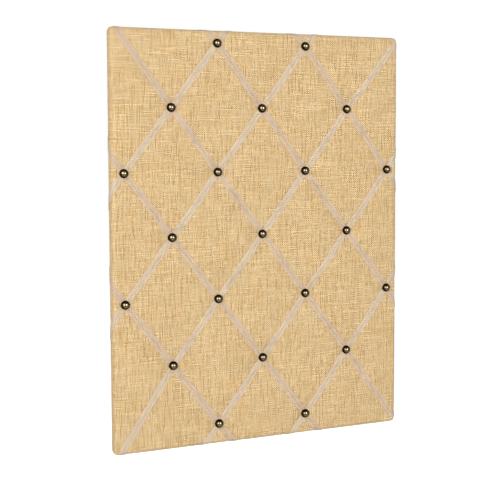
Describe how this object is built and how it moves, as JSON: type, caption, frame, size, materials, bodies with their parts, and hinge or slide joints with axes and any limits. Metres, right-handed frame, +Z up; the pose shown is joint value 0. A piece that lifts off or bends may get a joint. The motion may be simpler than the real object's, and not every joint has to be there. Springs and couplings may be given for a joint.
{
  "type": "french memo board",
  "caption": "Padded linen memo board with a diagonal ribbon lattice held by domed studs, for tucking in notes and photos, with swinging D-ring hangers on the back.",
  "frame": {"origin": "centre of the board on the wall plane that the rubber bumpers touch", "axes": "+Z up along the long side, +X to the right seen from the front, +Y from the front towards the wall"},
  "size_m": [0.4518, 0.0312, 0.6018],
  "materials": {
    "linen": "coarse plain-weave linen look, sand",
    "cream_ribbon": "woven tape, cream",
    "mauve_ribbon": "woven tape, greyish rose",
    "bronze_stud": "antique bronze plating, polished",
    "fibreboard": "raw medium-density fibreboard",
    "foam": "open-cell foam sheet",
    "backing_sheet": "black non-woven sheet",
    "hanger_metal": "nickel plated steel",
    "rubber": "matt grey rubber"
  },
  "bodies": {
    "board": {"backing_board": "fibreboard", "foam_pad": "foam", "linen_cover": "linen", "ribbon_fall_1": "mauve_ribbon", "ribbon_fall_2": "mauve_ribbon", "ribbon_fall_3": "mauve_ribbon", "ribbon_fall_4": "mauve_ribbon", "ribbon_fall_5": "mauve_ribbon", "ribbon_rise_1": "cream_ribbon", "ribbon_rise_2": "cream_ribbon", "ribbon_rise_3": "cream_ribbon", "ribbon_rise_4": "cream_ribbon", "ribbon_rise_5": "cream_ribbon", "stud_01": "bronze_stud", "stud_02": "bronze_stud", "stud_03": "bronze_stud", "stud_04": "bronze_stud", "stud_05": "bronze_stud", "stud_06": "bronze_stud", "stud_07": "bronze_stud", "stud_08": "bronze_stud", "stud_09": "bronze_stud", "stud_10": "bronze_stud", "stud_11": "bronze_stud", "stud_12": "bronze_stud", "stud_13": "bronze_stud", "stud_14": "bronze_stud", "stud_15": "bronze_stud", "stud_16": "bronze_stud", "stud_17": "bronze_stud", "stud_18": "bronze_stud", "stud_19": "bronze_stud", "stud_20": "bronze_stud", "stud_21": "bronze_stud", "dust_cover": "backing_sheet", "hanger_strap_left": "hanger_metal", "hanger_strap_right": "hanger_metal", "hanger_screw_left": "hanger_metal", "hanger_screw_right": "hanger_metal", "bumper_left": "rubber", "bumper_right": "rubber"},
    "ring_left": {"hanger_ring_left": "hanger_metal"},
    "ring_right": {"hanger_ring_right": "hanger_metal"}
  },
  "joints": [
    {"name": "ring_left_swing", "type": "hinge", "parent": "board", "child": "ring_left", "pos_m": [-0.15, -0.0047, 0.225], "axis": [-1, 0, 0], "range_deg": [0, 165]},
    {"name": "ring_right_swing", "type": "hinge", "parent": "board", "child": "ring_right", "pos_m": [0.15, -0.0047, 0.225], "axis": [-1, 0, 0], "range_deg": [0, 165]}
  ]
}
